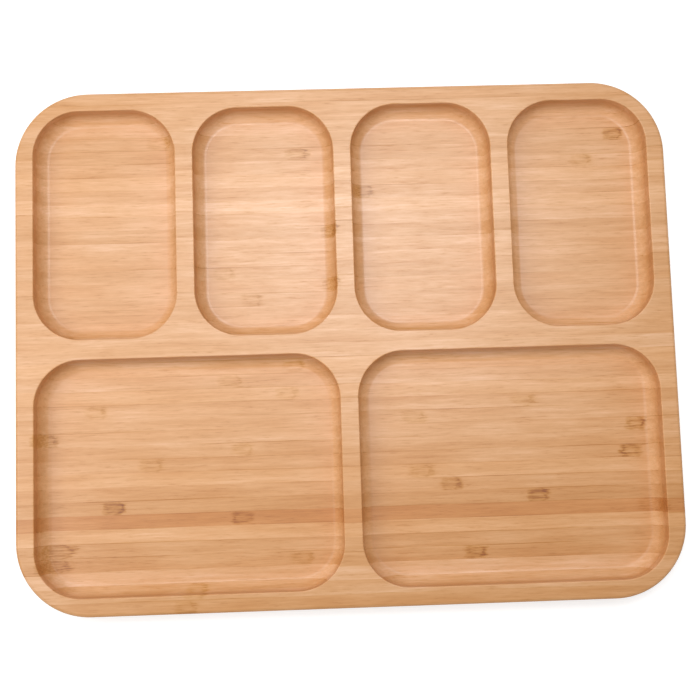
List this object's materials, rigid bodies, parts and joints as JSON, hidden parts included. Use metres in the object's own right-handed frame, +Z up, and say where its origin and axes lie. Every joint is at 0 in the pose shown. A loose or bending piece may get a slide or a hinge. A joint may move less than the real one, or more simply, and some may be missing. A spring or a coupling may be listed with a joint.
{
  "type": "divided serving tray",
  "caption": "Flat bamboo serving tray with round corners, glued up from strips and milled with a back row of narrow wells and a front row of wide wells.",
  "frame": {"origin": "middle of the flat underside", "axes": "+X along the tray's length and the strips' grain, +Y towards the row of small wells, +Z up out of the wells"},
  "size_m": [0.36, 0.285, 0.02],
  "materials": {
    "bamboo_straw": "satin food-safe oil",
    "bamboo_pale": "satin food-safe oil",
    "bamboo_honey": "satin food-safe oil",
    "bamboo_dark_honey": "satin food-safe oil"
  },
  "bodies": {
    "root": {"front_rim_strip": "bamboo_honey", "large_well_strip_01": "bamboo_honey", "large_well_strip_02": "bamboo_straw", "large_well_strip_03": "bamboo_honey", "large_well_strip_04": "bamboo_honey", "large_well_strip_05": "bamboo_pale", "large_well_strip_06": "bamboo_dark_honey", "large_well_strip_07": "bamboo_honey", "large_well_strip_08": "bamboo_straw", "large_well_strip_09": "bamboo_pale", "large_well_strip_10": "bamboo_straw", "large_well_strip_11": "bamboo_straw", "large_well_strip_12": "bamboo_straw", "large_well_strip_13": "bamboo_straw", "large_well_strip_14": "bamboo_straw", "large_well_strip_15": "bamboo_pale", "large_well_strip_16": "bamboo_straw", "large_well_strip_17": "bamboo_pale", "rail_front_strip": "bamboo_straw", "rail_back_strip": "bamboo_straw", "small_well_strip_01": "bamboo_straw", "small_well_strip_02": "bamboo_honey", "small_well_strip_03": "bamboo_honey", "small_well_strip_04": "bamboo_straw", "small_well_strip_05": "bamboo_honey", "small_well_strip_06": "bamboo_straw", "small_well_strip_07": "bamboo_straw", "small_well_strip_08": "bamboo_honey", "small_well_strip_09": "bamboo_straw", "small_well_strip_10": "bamboo_pale", "small_well_strip_11": "bamboo_straw", "small_well_strip_12": "bamboo_pale", "small_well_strip_13": "bamboo_straw", "small_well_strip_14": "bamboo_honey", "small_well_strip_15": "bamboo_honey", "small_well_strip_16": "bamboo_straw", "small_well_strip_17": "bamboo_straw", "back_rim_strip": "bamboo_straw"}
  },
  "joints": []
}
